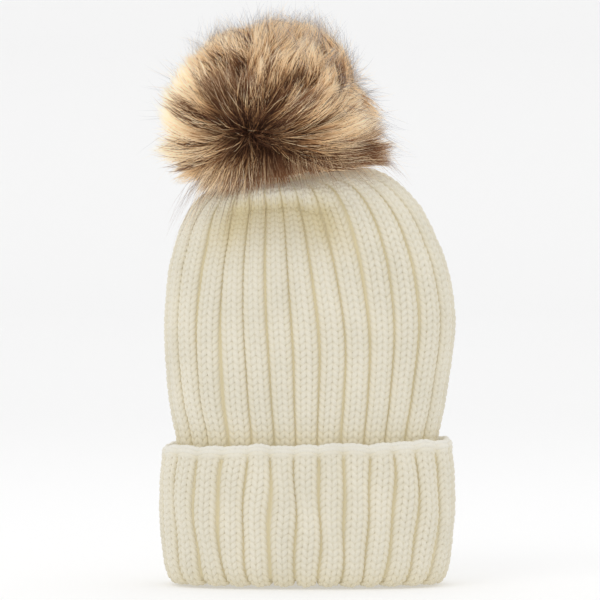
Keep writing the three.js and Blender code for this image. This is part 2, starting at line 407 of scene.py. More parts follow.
class Fabric:
    """A smooth knit surface, sampled finely up its rows and round the hat, in millimetres."""

    SAMPLES_PER_ROW = 4
    SAMPLES_ROUND = RIBS * 24

    def __init__(self, stations, sculpt, sway=None, lift=None):
        self.sway = sway
        line = smooth_line(stations, ROW_HEIGHT / self.SAMPLES_PER_ROW)
        self.rows = (len(line) - 1) / self.SAMPLES_PER_ROW
        self.pitch = np.empty(len(line))
        self.points = np.empty((len(line), self.SAMPLES_ROUND, 3))
        for level, (height, half_width, half_depth, lean) in enumerate(line):
            x, y, length = oval(half_width, half_depth, self.SAMPLES_ROUND)
            self.pitch[level] = length / RIBS
            tilt = math.tan(LEAN_LEFT) * x + math.tan(LEAN_FORWARD) * y
            self.points[level, :, 0] = x + lean * TOP_SHIFT[0]
            self.points[level, :, 1] = y + lean * TOP_SHIFT[1]
            self.points[level, :, 2] = height + lean * tilt
        if lift:
            self.points[..., 2] += lift(self.points)
        self.normals = self.find_normals()
        self.points += self.normals * sculpt(self.points)[..., None]
        self.normals = self.find_normals()

    def find_normals(self):
        up = np.gradient(self.points, axis=0)
        round_hat = np.roll(self.points, -1, axis=1) - np.roll(self.points, 1, axis=1)
        return unit(np.cross(round_hat, up))

    def at(self, row, share):
        """Positions and normals at rows (real-valued) and shares of a turn round the hat."""
        level = np.clip(row * self.SAMPLES_PER_ROW, 0, len(self.points) - 1.001)
        if self.sway:
            share = share + self.sway(row / self.rows, share % 1.0) / RIBS
        column = (share % 1.0) * self.SAMPLES_ROUND
        i = np.floor(level).astype(int)
        j = np.floor(column).astype(int)
        a = (level - i)[..., None]
        b = (column - j)[..., None]
        j0 = j % self.SAMPLES_ROUND
        j1 = (j + 1) % self.SAMPLES_ROUND

        def blended(grid):
            low = grid[i, j0] * (1 - b) + grid[i, j1] * b
            high = grid[i + 1, j0] * (1 - b) + grid[i + 1, j1] * b
            return low * (1 - a) + high * a

        return blended(self.points), unit(blended(self.normals))

    def pitch_at(self, row):
        return np.interp(row * self.SAMPLES_PER_ROW, np.arange(len(self.pitch)), self.pitch)


def bell(value, centre, width):
    return np.exp(-((value - centre) / width) ** 2)


def at_front(points):
    """1 on the front of the hat, falling to 0 at its sides."""
    return np.clip(-points[..., 1] / 20, 0, 1)


def smooth_step(value, start, end):
    t = np.clip((value - start) / (end - start), 0, 1)
    return t * t * (3 - 2 * t)


def under_pom(points):
    """1 in the middle of the front under the pom, 0 beside it; it widens downwards."""
    half_width = 28 + 0.4 * np.clip(240 - points[..., 2], 0, 45)
    return np.exp(-((points[..., 0] - POM_MIDDLE) / half_width) ** 4) * at_front(points)


def roll_wave(points):
    """How far the lower edge of the roll strays from level."""
    return 2.2 * np.sin(points[..., 0] / 8 + 1) + 1.2 * np.sin(points[..., 0] / 4.7)


def fold_depth(points):
    """How deep the crown is folded in below the roll under the pom, from 0 to 1."""
    z = points[..., 2] + roll_wave(points)
    above = np.clip((FOLD_HEIGHT + 6 - z) / 6, 0, 1)
    return under_pom(points) * np.where(z > FOLD_HEIGHT, above, bell(z, FOLD_HEIGHT, 21))


def crease_depth(points):
    """The tight crease right below the roll, from 0 to 1."""
    crease = bell(points[..., 2] + roll_wave(points), FOLD_HEIGHT + 1.5, 3.6)
    return bell(points[..., 0], POM_MIDDLE, 30) * crease * at_front(points)


def flank_depth(points):
    """The two soft folds that run down from the ends of the roll, from 0 to 1."""
    edge = under_pom(points)
    return 4 * edge * (1 - edge) * bell(points[..., 2], 228, 19)


def crown_sculpt(points):
    """How the crown slumps: a soft roll under the pom at the front, and the fold below it."""
    x, z = points[..., 0], points[..., 2]
    roll = ROLL_PROUD * under_pom(points) * bell(z, ROLL_HEIGHT, 4.5)
    roll = roll - FOLD_DEEP * fold_depth(points) - CREASE_DEEP * crease_depth(points)
    dents = 1.2 * np.sin(x / 19 + 0.7) * bell(z, 205, 26) + 0.9 * np.sin(x / 31 - z / 37)
    slump = SLUMP_PROUD * np.clip(x / 85, 0, 1) ** 2 * bell(z, 185, 52) - FLANK_DEEP * flank_depth(points)
    return slump + roll + dents * np.clip((z - 95) / 25, 0, 1) * np.clip((250 - z) / 15, 0, 1)


def cuff_sculpt(points):
    """The cuff's slack: shallow waves over it."""
    x, z = points[..., 0], points[..., 2]
    return 0.7 * np.sin(x / 27 + z / 23) * np.clip(z / 20, 0, 1)


def cuff_tilt(points):
    """How much higher the cuff stands towards +X: its rim isn't quite level."""
    return 2.1 * points[..., 0] / 85 * np.clip(points[..., 2] / 88, 0, 1) ** 2


def crown_sway(up, share):
    """How far the crown's ribs lean towards the gathers, in ribs: up is 0 at the fold and 1 at the top."""
    lean = -0.45 * bell(share, 0.775, 0.085) * smooth_step(up, 0.42, 0.72)
    return lean + 0.04 * np.sin(9 * up + 7 * TAU * share)


def cuff_sway(up, share):
    """How far the cuff's ribs lean sideways, in ribs: up is 0 at the fold and 1 at the rim."""
    lean = -0.3 * bell(share, 0.87, 0.08) * (1 - up) ** 1.5 - 0.12 * bell(share, 0.6, 0.06) * (1 - up) ** 2
    return lean + 0.05 * np.sin(6.5 * up + 5 * TAU * share) + 0.03 * np.sin(13 * up + 11 * TAU * share)


def wander(rib, row, seed):
    """Slow sideways drift of a rib up its length, as a share of a rib's width."""
    phase = np.sin(rib * 12.9898 + seed) * 43.758
    return 0.02 * np.sin(row / 6.1 + phase) + 0.018 * np.sin(row / 13.7 + 2.3 * phase)


def rib_course(knit_width):
    """One course of yarn across one rib: two knit loops on the crest, one purl in the valley.

    Gives sideways place in millimetres from the rib's middle, height in rows, depth outwards in
    millimetres, thickness, and painted shade from 0 to 1: most in the valley and where the loops dip.
    """
    t = np.arange(KNIT_SAMPLES) / KNIT_SAMPLES * TAU
    knit_across = knit_width * t / TAU + LOOP_LEAN * np.sin(2 * t)
    across = np.concatenate([knit_across - knit_width, knit_across])
    rise = np.tile(-np.cos(t) * LOOP_HALF_HEIGHT / ROW_HEIGHT, 2)
    crest = -RIB_CROWN_DROP * np.abs(across / knit_width) ** 2.2
    out = crest - LOOP_DEPTH * np.tile(np.cos(2 * t), 2)
    thickness = 0.86 - 0.14 * np.tile(np.cos(2 * t), 2)
    # Painted shade: most in the valley and where the loops dip.
    painted_shade = np.clip(np.abs(across / knit_width) ** 6, 0, 1) * 0.5 + 0.12 * (1 + np.tile(np.cos(2 * t), 2))
    u = np.arange(PURL_SAMPLES) / PURL_SAMPLES
    purl_width = RIB_PITCH - 2 * knit_width
    purl_across = knit_width + purl_width * u
    purl_rise = -np.cos(TAU * u) * 0.8
    purl_out = -RIB_CROWN_DROP - LOOP_DEPTH - 0.4 * np.sin(math.pi * u)
    return (
        np.concatenate([across, purl_across]),
        np.concatenate([rise, purl_rise]),
        np.concatenate([out, purl_out]),
        np.concatenate([thickness, np.full(PURL_SAMPLES, 0.72)]),
        np.concatenate([painted_shade, np.ones(PURL_SAMPLES)]),
    )


def nook(height, upward):
    """1 where the light is shut out: the crown just above the rim, and the fold of the cuff."""
    return bell(height, RIM_HEIGHT, 9) if upward > 0 else bell(height, 0, 10)


def knit_rows(name, fabric, rows, upward, knit_width, rib_strength, node):
    """Courses of yarn looped along a fabric, several to a piece. Each course is one closed tube.

    The loops' small unevenness is drawn once for every four samples of yarn.
    """
    across, rise, out, thickness, painted_shade = rib_course(knit_width)
    per_rib = len(across)
    rib = np.arange(RIBS)[None, :, None]
    for piece_number, first in enumerate(range(0, len(rows), ROWS_PER_PIECE)):
        row = np.array(rows[first:first + ROWS_PER_PIECE], dtype=float)[:, None, None]
        loose = RANDOM.normal(0, 1, (2, len(row), RIBS, per_rib // 4 + 1))
        loose = loose.repeat(4, axis=3)[..., :per_rib]
        level = row + upward * rise + UNEVEN_HEIGHT * loose[0]
        share = (rib + 0.5 + across / RIB_PITCH + wander(rib, row, upward)) / RIBS
        squeeze = np.clip(fabric.pitch_at(row) / RIB_PITCH, 0.2, 1.05)
        strength = rib_strength(level)
        outward = (np.where(out < 0, out * strength, out) + UNEVEN_DEPTH * loose[1]) * squeeze ** 0.5
        centre, normal = fabric.at(level, share)
        centre = (centre + normal * outward[..., None]).reshape(len(row), -1, 3)
        normal = normal.reshape(len(row), -1, 3)
        radius = (YARN_RADIUS * thickness * squeeze ** 0.9 * np.ones_like(outward)).reshape(len(row), -1)
        # Painted shade: in the valleys and where the loops dip, in the fold under the pom and its flanks,
        # and in the nooks, on a baseline.
        shade = (painted_shade * strength * np.ones_like(outward)).reshape(len(row), -1)
        shade += (BASE_SHADE + FOLD_SHADE * fold_depth(centre) + FLANK_SHADE * flank_depth(centre)
                  + NOOK_SHADE * nook(centre[..., 2], upward))
        piece = closed_tubes(f"{name}_{piece_number + 1}", centre, normal, radius, np.clip(shade, 0, 1))
        finish_piece(piece, cream_yarn, HAT, "cream_knit", node)


def closed_tubes(name, centre, normal, radius, shade):
    """One closed tube along each of several closed paths: centre is (paths, points, 3)."""
    paths, count, _ = centre.shape
    along = unit(np.roll(centre, -1, axis=1) - np.roll(centre, 1, axis=1))
    side = unit(np.cross(along, normal))
    lift = np.cross(side, along)
    angle = np.arange(YARN_SIDES) / YARN_SIDES * TAU
    ring = (
        centre[:, :, None, :]
        + side[:, :, None, :] * (np.cos(angle)[:, None] * radius[:, :, None, None])
        + lift[:, :, None, :] * (np.sin(angle)[:, None] * radius[:, :, None, None] * YARN_FLATNESS)
    )
    one = grid_faces(count, YARN_SIDES, True, True)
    faces = [one + path * count * YARN_SIDES for path in range(paths)]
    step, around = grid_corners(count, YARN_SIDES)
    yarn = np.stack([step * TWIST_ALONG, around / YARN_SIDES * TWIST_AROUND], axis=-1)
    yarn = np.tile(yarn, (paths, 1, 1))
    bake = np.concatenate([
        np.stack([step / count, (path + around / YARN_SIDES) / paths], axis=-1) for path in range(paths)
    ])
    shade = np.repeat(shade[..., None], YARN_SIDES, axis=2)
    return make_mesh(name, ring * MM, np.concatenate(faces), {"OFBake": bake, "Yarn": yarn}, shade)


def lining(name, fabric, first_row, last_row, outer_depth, inner_depth, node):
    """The closed wall of fabric behind the yarn: its outer valleys are ribs inside."""
    rows = np.linspace(first_row, last_row, int((last_row - first_row) * 1.5))
    rows, share = np.meshgrid(rows, np.arange(RIBS * 10) / (RIBS * 10), indexing="ij")
    centre, normal = fabric.at(rows, share)
    valley = (np.abs(((share * RIBS) % 1.0) - 0.5) * 2) ** 4
    outer = centre - normal * (outer_depth + (VALLEY_DEPTH - YARN_DEPTH) * valley)[..., None]
    bulge = 0.6 + 1.7 * np.clip((rows - CROWN_FIRST_ROW + 3) / 3, 0, 1)
    inner = centre - normal * (inner_depth + bulge * valley)[..., None]
    points = np.concatenate([outer, inner[::-1]])
    # Painted shade on the lining: heavy on its outer face, most in the valleys, and light on its inner
    # face.
    painted_shade = np.concatenate([0.6 + 0.4 * valley, np.full_like(valley, 0.2)])
    faces = grid_faces(*points.shape[:2], True, True)
    bake = grid_uv(*points.shape[:2])
    piece = make_mesh(name, points * MM, faces, {"OFBake": bake, "Yarn": bake * 200}, painted_shade)
    finish_piece(piece, cream_yarn, HAT, "cream_knit", node)


def add_floor():
    """A pale floor that curves up into a backdrop behind the hat."""
    pale = Shader("lit pale floor", Roughness=0.9, Specular_IOR_Level=0.1, Base_Color=(0.665, 0.665, 0.665),
                  Emission_Color=(1, 1, 1), Emission_Strength=SCATTERED_LIGHT)
    rows = [(-4, 0), (3, 0), (4.2, 0.15), (5, 0.7), (5.3, 1.6), (5.4, 6)]
    points = [[(-8, distance, height), (8, distance, height)] for distance, height in rows]
    floor = make_mesh("floor", np.array(points), grid_faces(len(rows), 2, False, False)[:, ::-1])
    floor.data.materials.append(pale.material)


add_camera()

# The second colour is the painted shade colour of the hollows, darker and warmer.
cream_yarn = yarn_shader("cream yarn", (0.635, 0.613, 0.552), (0.558, 0.487, 0.315))

crown_outer = Fabric(CROWN_OUTSIDE, crown_sculpt)
crown_yarn = Fabric(CROWN_OUTSIDE, lambda points: crown_sculpt(points) - YARN_DEPTH, crown_sway)
cuff_yarn = Fabric(CUFF_YARN_LINE, cuff_sculpt, cuff_sway, cuff_tilt)

crown_rows = np.arange(CROWN_FIRST_ROW, crown_yarn.rows - 1.5)
knit_rows("crown_courses", crown_yarn, crown_rows, 1, CROWN_KNIT_WIDTH, np.ones_like, "crown_knit")
lining("crown_lining", crown_yarn, 0, crown_yarn.rows, 0.1, 2.7, "crown_knit")


def cuff_rib_strength(level):
    """1 where the cuff's ribs are full: they flatten out over the last rows below the rim."""
    return np.clip((cuff_yarn.rows - 0.4 - level) / 2.2, 0.12, 1)


cuff_rows = np.arange(0.6, cuff_yarn.rows - 0.2)
knit_rows("cuff_courses", cuff_yarn, cuff_rows, -1, CUFF_KNIT_WIDTH, cuff_rib_strength, "turned_cuff")
lining("cuff_lining", cuff_yarn, 3.0, cuff_yarn.rows - 0.3, 0.2, 2.2, "turned_cuff")


# ---- Cast-on edge of the cuff ----
CAST_ON_RADIUS = 2.05
# The cords from the rim down: rows below the rim, dip into the valleys, how proud, and painted shade, none
# on the top cord where the rim's top catches the light.
CAST_ON_CORDS = [(0, 0.3, 1.0, 0), (0.45, 0.8, 1.4, 0.1), (0.95, 1.6, 0.9, 0.25)]


def cast_on_edge():
    """Plump cords of the first knitted rows, round the rim."""
    count = RIBS * 16
    share = np.arange(count) / count
    phase = share * RIBS * TAU
    valley = ((1 + np.cos(phase)) / 2) ** 2
    stitch = np.abs(np.sin(phase * 2))
    tubes = []
    waves = 0.5 * np.sin(9 * TAU * share + 1) + 0.35 * np.sin(17 * TAU * share + 4)
    for below_rim, dip, proud, shade in CAST_ON_CORDS:
        centre, normal = cuff_yarn.at(np.full(count, cuff_yarn.rows - below_rim), share)
        centre += normal * (proud + 0.2 * stitch - dip * valley)[:, None]
        centre[:, 2] += 0.2 * stitch + waves - 0.5 * valley
        radius = CAST_ON_RADIUS + 0.1 * stitch - 0.15 * valley * dip
        # Painted shade deepens in the valleys, as far as the cord dips.
        tubes.append((centre, normal, radius, shade + 0.2 * valley * dip))
    edge = closed_tubes("cuff_cast_on", *map(np.array, zip(*tubes)))
    finish_piece(edge, cream_yarn, HAT, "cream_knit", "turned_cuff")


cast_on_edge()


# ---- Fur ----
HAIR_STATIONS = np.array([0, 0.34, 0.66, 0.86, 1])
HAIR_TAPER = np.array([1, 1, 0.78, 0.45])
HAIR_SIDES = 3
HAIRS_PER_PIECE = 9000
LOWEST_CEILING = -60
FARTHEST_CEILING = 132
CEILING_STEP = 3
TONE_BANDS = 40
WHORL = direction_on_axis(-0.29, -0.68, -0.67)
PARTING_WIDTH = 0.2
PARTINGS = [direction_on_axis(-33, -65, 8), direction_on_axis(9, -72, -9), direction_on_axis(-13, -42, -42)]
HAIR_LIMITS = np.array([(-0.1085, -0.0985, 0), (0.1085, 0.0635, 0.3685)])
LOW_TUFT = direction_on_axis(-41, -36, -60)
DARK_TUFT = direction_on_axis(80, -18, -40)
PALE_TUFT = direction_on_axis(-18, -70, 10)
DOWN = direction_on_axis(0, 0, -1)
LEFT = direction_on_axis(-1, 0.1, 0)
FRONT = direction_on_axis(0.3, -0.95, 0)
FRONT_LEFT = direction_on_axis(-0.7, -0.72, 0)
# Where dark hair is thicker or thinner than elsewhere: where its tips point, how wide, and how much.
SHADED = [
    ((-40, -58, 14), 0.4, 0.58),
    ((-50, -45, 34), 0.35, 0.55),
    ((0, -20, 55), 0.5, -0.15),
    ((9, -72, -9), 0.3, 0.35),
    ((-10, -45, -42), 0.45, 0.62),
    ((50, -40, 8), 0.5, -0.2),
    ((86, -12, -32), 0.18, 0.8),
    ((38, -45, -38), 0.32, -0.4),
]


def fur_shader():
    """Hair coloured from root to tip by the UV map: U runs up the hair, V picks its tone."""
    shader = Shader("brown fur", Roughness=0.6, Specular_IOR_Level=0.15, Emission_Strength=SCATTERED_LIGHT)
    place = shader.node("UVMap", uv_map="OFBake").outputs["UV"]
    split = shader.node("SeparateXYZ", Vector=place)
    up, tone = split.outputs[0], split.outputs[1]

    def share(start, end):
        span = shader.node("MapRange", interpolation_type="SMOOTHSTEP")
        shader.set(span, Value=tone, From_Min=start, From_Max=end)
        return span.outputs["Result"]

    dark = shader.ramp(up, [
        (0.0, (0.008, 0.004, 0.003)),
        (0.5, (0.042, 0.016, 0.008)),
        (0.8, (0.135, 0.056, 0.025)),
        (1.0, (0.33, 0.165, 0.08)),
    ])
    tan = shader.ramp(up, [
        (0.0, (0.012, 0.006, 0.003)),
        (0.32, (0.09, 0.04, 0.018)),
        (0.55, (0.39, 0.205, 0.09)),
        (0.72, (0.71, 0.505, 0.285)),
        (1.0, (0.85, 0.70, 0.50)),
    ])
    cream = shader.ramp(up, [
        (0.0, (0.03, 0.016, 0.010)),
        (0.3, (0.27, 0.15, 0.07)),
        (0.5, (0.72, 0.53, 0.31)),
        (0.72, (0.92, 0.81, 0.60)),
        (1.0, (0.96, 0.92, 0.79)),
    ])
    guard = shader.ramp(up, [
        (0.0, (0.02, 0.012, 0.010)),
        (0.45, (0.22, 0.16, 0.12)),
        (0.75, (0.24, 0.23, 0.25)),
        (1.0, (0.45, 0.48, 0.55)),
    ])
    colour = shader.mix(share(0.1, 0.42), dark, tan)
    colour = shader.mix(share(0.5, 0.82), colour, cream)
    # The emission is a painted glow that stands for light scattered through the fur.
    shader.glowing_colour(shader.mix(share(0.87, 0.89), colour, guard))
    return shader.material


brown_fur = fur_shader()


def sphere_directions(count):
    """Directions spread evenly over a sphere."""
    turn = np.arange(count) * math.pi * (3 - math.sqrt(5))
    height = 1 - 2 * (np.arange(count) + 0.5) / count
    return round_axis(np.sqrt(1 - height * height), turn, height)


SWIRL = [(RANDOM.normal(0, 2.6, 3), RANDOM.normal(0, 1, 3), RANDOM.uniform(0, TAU)) for _ in range(14)]


def swirl(directions):
    """A smooth sideways push for every direction, so that the hair isn't combed evenly."""
    total = np.zeros_like(directions)
    for wave, push, start in SWIRL:
        total += np.sin(directions @ wave + start)[:, None] * push
    total *= 0.27
    return total - directions * np.sum(total * directions, axis=1, keepdims=True)


def hat_ceiling():
    """The highest point of the crown at each distance from the stud's axis, however the pom turns."""
    points = to_axis(crown_outer.points.reshape(-1, 3))
    points = points[points[:, 2] > LOWEST_CEILING]
    distance = np.hypot(points[:, 0], points[:, 1])
    bins = np.arange(0, FARTHEST_CEILING, CEILING_STEP)
    highest = np.full(len(bins), float(LOWEST_CEILING))
    np.maximum.at(highest, np.clip((distance / CEILING_STEP).astype(int), 0, len(bins) - 1), points[:, 2])
    highest = np.maximum(highest, np.maximum(np.roll(highest, 1), np.roll(highest, -1)))
    highest[:4] = np.maximum(highest[:4], highest[4])
    return bins + CEILING_STEP / 2, highest


CEILING_DISTANCE, CEILING_HEIGHT = hat_ceiling()


def gather(points, groups, count, pull):
    """Draws each point part of the way to the middle of its group."""
    total = np.stack([np.bincount(groups, points[:, k], count) for k in range(3)], axis=1)
    members = np.maximum(np.bincount(groups, minlength=count), 1)[:, None]
    return points + ((total / members)[groups] - points) * pull[:, None]


def pile_reach(directions):
    """How far the pile reaches each way: it sags, so it is widest below the middle."""
    above = np.degrees(np.arcsin(np.clip(-directions @ DOWN, -1, 1)))
    left = directions @ LEFT
    reach = np.interp(above, *np.array(PILE_REACH).T)
    left_more = 17 * np.clip(left, 0, 1) ** 1.5 * bell(above, 0, 40)
    reach += left_more - 4 * np.clip(-left, 0, 1) * bell(above, 25, 20)
    low_more = 14 * smooth_step(directions @ LOW_TUFT, 0.9, 0.985)
    reach += low_more + 9 * smooth_step(directions @ DARK_TUFT, 0.9, 0.985)
    return reach[:, None]


def hairs(count, reach, reach_spread, clumps, locks, combed=1.0, drawn=1.0):
    """Paths of hairs from the backing to their tips, and what decides their tone.

    Each path has one point per HAIR_STATIONS. Hair parts at the whorl and is combed away from it.
    """
    root_way = unit(sphere_directions(count) + RANDOM.normal(0, 0.012, (count, 3)))
    root = POM_CENTRE + root_way * (BACKING_SIZE + BACKING_THICKNESS * 0.5)
    opening = (root_way[:, 2] < 0) & (np.hypot(root[:, 0], root[:, 1]) < POM_OPENING_RADIUS + 2)
    root_way, root = root_way[~opening], root[~opening]
    count = len(root)
    outward = unit(root_way / BACKING_SIZE)
    angle = angle_between(root_way, WHORL)
    away = unit(root_way * np.cos(angle)[:, None] - WHORL)
    comb = 1.05 * (1 - np.exp(-angle / 0.2)) * np.exp(-angle / 2.2) * np.clip((math.pi - angle) / 0.7, 0, 1)
    pushed = away * comb[:, None] + 0.3 * swirl(root_way) + 0.16 * np.cross(WHORL, root_way)
    stray = 0.08 + 0.2 * bell(angle, 0, 0.35) + 0.3 * bell(angle, math.pi, 0.6)
    stray = stray[:, None] * RANDOM.normal(0, 1, (count, 3))
    tip_way = root_way + combed * pushed + stray
    dent = 0.24 * bell(angle, 0, 0.34)
    for parting in PARTINGS:
        apart = angle_between(root_way, parting)
        aside = unit(root_way * np.cos(apart)[:, None] - parting)
        tip_way += aside * (0.10 * bell(apart, PARTING_WIDTH, PARTING_WIDTH))[:, None]
        dent += 0.16 * bell(apart, 0, PARTING_WIDTH)
    tip_way = unit(tip_way)
    lock = nearest(tip_way, locks, 0.05)
    clump = nearest(tip_way + RANDOM.normal(0, 0.012, (count, 3)), clumps, 0.02)
    tip_way += RANDOM.normal(0, 0.11, (locks, 3))[lock] + RANDOM.normal(0, 0.05, (clumps, 3))[clump]
    tip_way = unit(tip_way)
    uneven = reach_spread * RANDOM.normal(0, 1, count) + RANDOM.normal(0, 0.035, clumps)[clump]
    tip = POM_CENTRE + tip_way * pile_reach(tip_way) * (reach * (1 - dent) * (1 + uneven))[:, None]
    tip = gather(tip, lock, locks, drawn * RANDOM.uniform(0, 0.35, count))
    tip = gather(tip, clump, clumps, drawn * RANDOM.uniform(0.1, 0.72, count))
    tip += DOWN * RANDOM.uniform(1.5, 7, count)[:, None]
    span = np.linalg.norm(tip - root, axis=1)[:, None]
    bend = root + unit(outward + 0.35 * unit(tip - root)) * span * 0.52 + RANDOM.normal(0, 1.6, (count, 3))
    paths = within_reach(curved(root, bend, tip))
    return clear_of_hat(paths, 4 * RANDOM.uniform(0, 1, count) ** 2.5, 3.5), angle, tip_way, clump, lock


def nearest(directions, groups, unevenness):
    """Which of a number of spread-out directions each direction is nearest to."""
    middles = unit(sphere_directions(groups) + RANDOM.normal(0, unevenness, (groups, 3)))
    return np.argmax(directions @ middles.T, axis=1)


def within_reach(paths):
    """Shortens the hairs that would stand out beyond the limits."""
    root = from_axis(paths[:, 0])
    tip = from_axis(paths[:, -1])
    limit = np.where(tip > root, HAIR_LIMITS[1], HAIR_LIMITS[0])
    span = np.where(np.abs(tip - root) < 1e-6, 1e-6, tip - root)
    share = np.clip((limit - root) / span, 0, 1).min(axis=1)
    return paths[:, :1] + (paths - paths[:, :1]) * share[:, None, None]


def clear_of_hat(paths, lift, front_lift):
    """Lifts every point that would brush the crown, however the pom is turned."""
    floor = np.interp(np.hypot(paths[..., 0], paths[..., 1]), CEILING_DISTANCE, CEILING_HEIGHT)
    lift = lift[:, None] + front_lift * np.clip(paths @ FRONT / 45, 0, 1)
    paths[..., 2] = np.maximum(paths[..., 2], floor + PILE_CLEARANCE + lift * HAIR_STATIONS)
    return paths


def curved(root, bend, tip):
    t = HAIR_STATIONS[None, :, None]
    return (1 - t) ** 2 * root[:, None] + 2 * t * (1 - t) * bend[:, None] + t ** 2 * tip[:, None]


def fringe(count, clumps, longest):
    """Hair from under the pom that spreads over the crown and closes the gap between them."""
    turn = RANDOM.uniform(0, TAU, count)
    start = RANDOM.uniform(18, 32, count)
    height = POM_CENTRE[2] - BACKING_SIZE[2] * np.sqrt(1 - (np.maximum(start, 25) / BACKING_SIZE[0]) ** 2)
    height -= np.maximum(25 - start, 0) * 1.4
    root = round_axis(start, turn, height)
    clump = np.floor(turn / TAU * clumps).astype(int)
    aside = turn + RANDOM.normal(0, 0.16, clumps)[clump] + RANDOM.normal(0, 0.09, count)
    way = round_axis(1, turn, 0)
    leftward = smooth_step(way @ LEFT, 0.2, 0.75)
    farthest = longest + 13 * smooth_step(way @ FRONT_LEFT, 0.7, 0.97)
    farthest -= 9 * smooth_step(way @ LEFT, 0.9, 0.99)
    reach = farthest - 28 * RANDOM.uniform(0, 1, count) ** 1.8 + RANDOM.normal(0, 3, clumps)[clump]
    level = np.interp(reach, CEILING_DISTANCE, CEILING_HEIGHT)
    level += 9 * RANDOM.uniform(0, 1, count) ** 2 + RANDOM.uniform(-3, 6, clumps)[clump]
    tip = gather(round_axis(reach, aside, level), clump, clumps, RANDOM.uniform(0, 0.6, count))
    bend = root * 0.4 + tip * 0.6
    bend[:, 2] = root[:, 2] * 0.85 + tip[:, 2] * 0.15 + 3
    paths = clear_of_hat(within_reach(curved(root, bend, tip)), 4 * RANDOM.uniform(0, 1, count) ** 2.5, 0)
    rightward = smooth_step(way @ -LEFT, 0.15, 0.6)
    dark = RANDOM.uniform(0, 1, clumps)[clump] < 0.85 - 0.65 * leftward - 0.5 * rightward
    tone = np.where(dark, 0.08, 0.2 + 0.4 * leftward + 0.2 * rightward) + RANDOM.normal(0, 0.06, count)
    return paths, np.clip(tone, 0.01, 0.8)


def hair_corners():
    """The triangles of one hair: each corner's number, its ring, and its place round the hair in sides."""
    last = len(HAIR_TAPER) - 1
    places = [[(0, 0), (0, 2), (0, 1)]]
    for ring in range(last):
        for side in range(HAIR_SIDES):
            places.append([(ring, side), (ring, side + 1), (ring + 1, side + 1)])
            places.append([(ring, side), (ring + 1, side + 1), (ring + 1, side)])
    for side in range(HAIR_SIDES):
        places.append([(last, side), (last, side + 1), (last + 1, side + 0.5)])
    up, around = np.moveaxis(np.array(places), -1, 0)
    number = up * HAIR_SIDES + np.where(up > last, 0, around % HAIR_SIDES)
    return number.astype(int), up.astype(int), around


def hair_mesh(name, paths, thickness, tone):
    """One closed three-sided taper per path."""
    count = len(paths)
    rings = len(HAIR_TAPER)
    along = unit(np.gradient(paths, axis=1))[:, :rings]
    guide = unit(RANDOM.normal(0, 1, (count, 1, 3)))
    side = unit(guide - along * np.sum(guide * along, axis=-1, keepdims=True))
    lift = np.cross(along, side)
    angle = np.arange(HAIR_SIDES) / HAIR_SIDES * TAU
    radius = (thickness[:, None] * HAIR_TAPER)[..., None, None]
    ring = paths[:, :rings, None, :] + radius * (
        side[:, :, None, :] * np.cos(angle)[:, None] + lift[:, :, None, :] * np.sin(angle)[:, None])
    points = np.concatenate([ring.reshape(count, -1, 3), paths[:, -1:]], axis=1)
    one, up, around = hair_corners()
    faces = (one[None] + (np.arange(count) * points.shape[1])[:, None, None]).reshape(-1, 3)
    u = np.broadcast_to(HAIR_STATIONS[up], (count, len(one), 3))
    band = np.floor(np.clip(tone, 0, 0.999) * TONE_BANDS)[:, None, None]
    v = (band + 0.1 + 0.8 * around / HAIR_SIDES) / TONE_BANDS
    uv = np.stack([u, np.broadcast_to(v, u.shape)], axis=-1).reshape(-1, 3, 2)
    piece = make_mesh(name, from_axis(points.reshape(-1, 3)), faces, {"OFBake": uv})
    finish_piece(piece, brown_fur, POM, "brown_fur", "pom_fur")


def underfur_tone(angle, way, clump, lock):
    """Dark where the hair parts, streaked round that, gold to cream at the edges and the left."""
    streak = RANDOM.uniform(0, 1, clump.max() + 1)[clump]
    broad = RANDOM.uniform(0, 1, lock.max() + 1)[lock]
    edge = smooth_step(angle, 0.25, 1.2)
    to_left = smooth_step(way @ LEFT, 0.72, 0.98)
    dark_share = 0.7 - 0.5 * edge - 0.4 * smooth_step(way @ LEFT, 0.5, 0.85)
    dark_share -= 0.5 * smooth_step(way @ PALE_TUFT, 0.95, 0.99)
    for middle, width, amount in SHADED:
        dark_share += amount * bell(angle_between(way, direction_on_axis(*middle)), 0, width)
    pale = 0.38 + 0.22 * broad + 0.08 * edge + 0.24 * to_left
    tone = np.where(streak < dark_share, 0.03 + 0.17 * broad, pale)
    fleck = RANDOM.uniform(0, 1, len(tone))
    tone = np.where(fleck < 0.1, 0.5, np.where(fleck > 0.93 + 0.07 * to_left, 0.12, tone))
    return np.clip(tone + RANDOM.normal(0, 0.06, len(tone)), 0.01, 0.85)


def add_hairs(name, paths, tone, thinnest, thickest, kept=slice(None)):
    """Makes pieces of the kept hairs, each hair with a radius between thinnest and thickest."""
    thickness = RANDOM.uniform(thinnest, thickest, len(paths))[kept]
    paths, tone = paths[kept], tone[kept]
    for number, first in enumerate(range(0, len(paths), HAIRS_PER_PIECE)):
        part = slice(first, first + HAIRS_PER_PIECE)
        hair_mesh(f"{name}_{number + 1}", paths[part], thickness[part], tone[part])


paths, angle, way, clump, lock = hairs(54000, reach=0.97, reach_spread=0.05, clumps=1500, locks=160)
order = RANDOM.permutation(len(paths))
tone = underfur_tone(angle, way, clump, lock)
add_hairs("pom_pile", paths[order], tone[order], 0.15, 0.25)

paths, angle, *_ = hairs(13000, reach=1.14, reach_spread=0.07, clumps=3600, locks=400,
                         combed=0.45, drawn=0.3)
guard = angle > RANDOM.uniform(1.1, 1.9, len(angle))
tone = np.where(RANDOM.uniform(0, 1, len(paths)) < 0.7, 0.95, 0.6)
add_hairs("pom_guard_hair", paths, tone, 0.04, 0.075, guard)

paths, tone = fringe(10000, clumps=420, longest=53)
add_hairs("pom_fringe", paths, tone, 0.13, 0.22)

paths, tone = fringe(700, clumps=380, longest=74)
tone *= np.where(RANDOM.uniform(0, 1, len(paths)) < 0.6, 0.3, 1)
add_hairs("pom_loose_hair", paths, tone, 0.05, 0.1)


